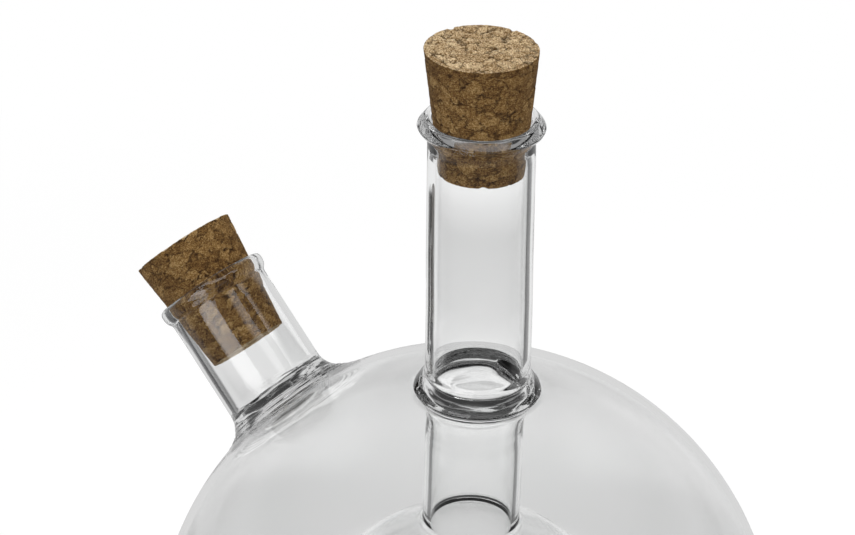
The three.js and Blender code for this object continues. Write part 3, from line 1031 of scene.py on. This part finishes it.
def floorMaterial():
    look = floorLook
    material, tree = newMaterial("paleFloor")
    ray, seen, mirrored, turned, once = rayKinds(tree)
    camera = ray["Is Camera Ray"]
    place = addNode(tree, "TexCoord").outputs["Object"]
    reach = addNode(tree, "VectorMath", {0: place}, operation="LENGTH").outputs["Value"]
    aside = dot(place, acrossView)
    away = dot(place, awayView)
    steep = math2("DIVIDE", ray["Ray Length"], reach)  # more for a ray from higher up
    slant = math2("DIVIDE", aside, math2("MAXIMUM", away, 0.001))
    spot = {"reach": reach, "aside": aside, "away": away, "steep": steep, "slant": slant}
    shaded = tuple(c * look["grainShade"] for c in look["colour"])
    colour = ramp(noiseTexture(place, look["grain"]),
            list(zip(look["grainStops"], (shaded, look["colour"]))))
    lit = socket(tree, "BsdfDiffuse", {"Color": colour})
    glow = socket(tree, "Emission", {"Strength": choose(camera, 0.0, look["glow"])})
    shown = socket(tree, "AddShader", {0: lit, 1: glow})
    white = socket(tree, "Emission", {"Strength": 1.0})
    whiteShare = product(camera, mapRange(reach, look["whiteSpan"]))
    shown = socket(tree, "MixShader", {0: whiteShare, 1: shown, 2: white})
    level = choose(turned, throughLevel(spot, ray, mirrored, once), turnedLevel(spot, ray))
    # the floor glows with painted light and shade for rays that come from the glass
    paintedInGlass = socket(tree, "Emission", {"Strength": level})
    mixed = socket(tree, "MixShader", {0: seen, 1: shown, 2: paintedInGlass})
    addNode(tree, "OutputMaterial", {"Surface": mixed})
    material.cycles.emission_sampling = "NONE"
    return material


def makeFloor():
    half = floorLook["size"] / 2
    corners = [(-half, -half, 0), (half, -half, 0), (half, half, 0), (-half, half, 0)]
    data = bpy.data.meshes.new("floor")
    data.from_pydata(corners, [], [(0, 1, 2, 3)])
    floor = bpy.data.objects.new("floor", data)
    floor.location.z = -floorLook["below"]
    scene.collection.objects.link(floor)
    data.materials.append(floorMaterial())
    return floor


def makeWorld():
    look = skyLook
    world = bpy.data.worlds.new("studio")
    scene.world = world
    world.use_nodes = True
    tree = world.node_tree
    tree.nodes.clear()
    ray, seen, mirrored, turned, once = rayKinds(tree)
    direction = addNode(tree, "TexCoord").outputs["Generated"]
    upwards = addNode(tree, "SeparateXYZ", {0: direction}).outputs["Z"]
    towards = product(dot(direction, awayView), -1.0)
    low, high = look["levels"]
    shown = mapRange(upwards, look["heights"], (choose(once, low, mirroredOnce), high))
    glow = product(band(upwards, *look["glowHeights"]), mapRange(towards, look["glowTowards"]))
    shown = choose(glow, shown, look["glow"])
    # painted pale and dark levels, the same as on the floor, for light that turned round in the glass
    levels = turnedLook["paintedPaleLevel"], turnedLook["leftLevel"]
    inside = mapRange(upwards, look["turnedHeights"], levels)
    inside = choose(mapRange(upwards, look["topHeights"]), inside, look["topLevel"])
    front = product(mapRange(towards, look["frontTowards"]),
            mapRange(ray["Glossy Depth"], look["frontDepth"], falling, False))
    inside = choose(front, inside, turnedLook["underLevel"])
    level = choose(seen, look["light"], choose(turned, shown, inside))
    level = choose(ray["Is Camera Ray"], level, 1.0)
    background = socket(tree, "Background", {"Strength": level})
    addNode(tree, "OutputWorld", {"Surface": background})


lamps = {
    "above": {"direction": (0.15, 0.25, 1.0), "distance": 1.1, "width": 0.8, "height": 0.8, "power": 8.0,
        "shows": False},
    "frontLeft": {"direction": (0.117, -0.974, 0.196), "distance": 0.8, "width": 0.6, "height": 0.4,
        "power": 1.9, "shows": True},
    "frontRight": {"direction": (0.687, -0.124, 0.716), "distance": 0.8, "width": 0.45, "height": 0.3,
        "power": 0.8, "shows": False},
}
lampTarget = (0, 0, 0.12)
lampSurfaces = 3.5  # a reflected lamp doesn't show past more surfaces of glass than this


def makeLamps():
    for name, lamp in lamps.items():
        direction = Vector(lamp["direction"]).normalized()
        data = bpy.data.lights.new(name, "AREA")
        data.shape = "RECTANGLE"
        data.size = lamp["width"]
        data.size_y = lamp["height"]
        data.energy = lamp["power"]
        item = bpy.data.objects.new(name, data)
        item.location = Vector(lampTarget) + direction * lamp["distance"]
        item.rotation_euler = direction.to_track_quat("Z", "Y").to_euler()
        item.visible_camera = False
        item.visible_glossy = item.visible_transmission = lamp["shows"]
        if lamp["shows"]:
            data.use_nodes = True
            tree = data.node_tree
            tree.nodes.clear()
            surfaces = addNode(tree, "LightPath").outputs["Transmission Depth"]
            strength = math2("LESS_THAN", surfaces, lampSurfaces)
            addNode(tree, "OutputLight", {"Surface": socket(tree, "Emission", {"Strength": strength})})
        scene.collection.objects.link(item)


makeFloor()
makeLamps()
makeWorld()
print("stage set")


# what each piece replaces and rides on

glassNodes = ("outer_globe", "inner_bulb", "inner_stem", "neck_ring_seal", "central_neck",
        "side_neck_weld", "side_neck")
for piece, nodes, body, slot in ((glass, glassNodes, "bottle", "clear_glass"),
        (centralCork, ("central_cork",), "central_stopper", "cork"),
        (otherCork, ("side_cork",), "side_stopper", "cork")):
    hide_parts(*nodes)
    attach(piece, body)
